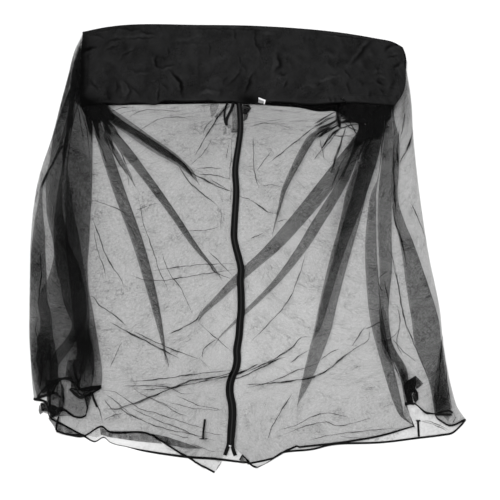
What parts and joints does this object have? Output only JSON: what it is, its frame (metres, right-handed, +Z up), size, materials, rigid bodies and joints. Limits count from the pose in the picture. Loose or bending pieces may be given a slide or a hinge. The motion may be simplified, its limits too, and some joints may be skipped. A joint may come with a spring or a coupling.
{
  "type": "mosquito net canopy",
  "caption": "Box-shaped mosquito net canopy with an opaque roof and a zipped net wall, laid out flat with the roof folded in half and the net in soft pleats.",
  "frame": {"origin": "on the surface that the canopy lies on, under the middle of its laid-out outline", "axes": "+Z up from that surface, +Y towards the roof's fold, +X towards the right side seen from above with the roof at the top"},
  "size_m": [1.9646, 2.0207, 0.0218],
  "materials": {
    "roof_cloth": "soft sheen, opaque",
    "net": "fine open net, matt",
    "webbing": "matt woven tape",
    "zip_tape": "matt woven tape",
    "zip_coil": "satin",
    "metal": "satin",
    "label": "matt, blank"
  },
  "bodies": {
    "root": {"roof": "roof_cloth", "net_wall": "net", "hem_binding": "webbing", "zip_tape_left": "zip_tape", "zip_tape_right": "zip_tape", "zip_chain": "zip_coil", "zip_slider": "metal", "zip_pull": "metal", "zip_stop": "metal", "tie_front": "webbing", "tie_left": "webbing", "tie_right": "webbing", "hanging_tape_1": "webbing", "hanging_tape_2": "webbing", "ring": "metal", "label": "label"}
  },
  "joints": []
}
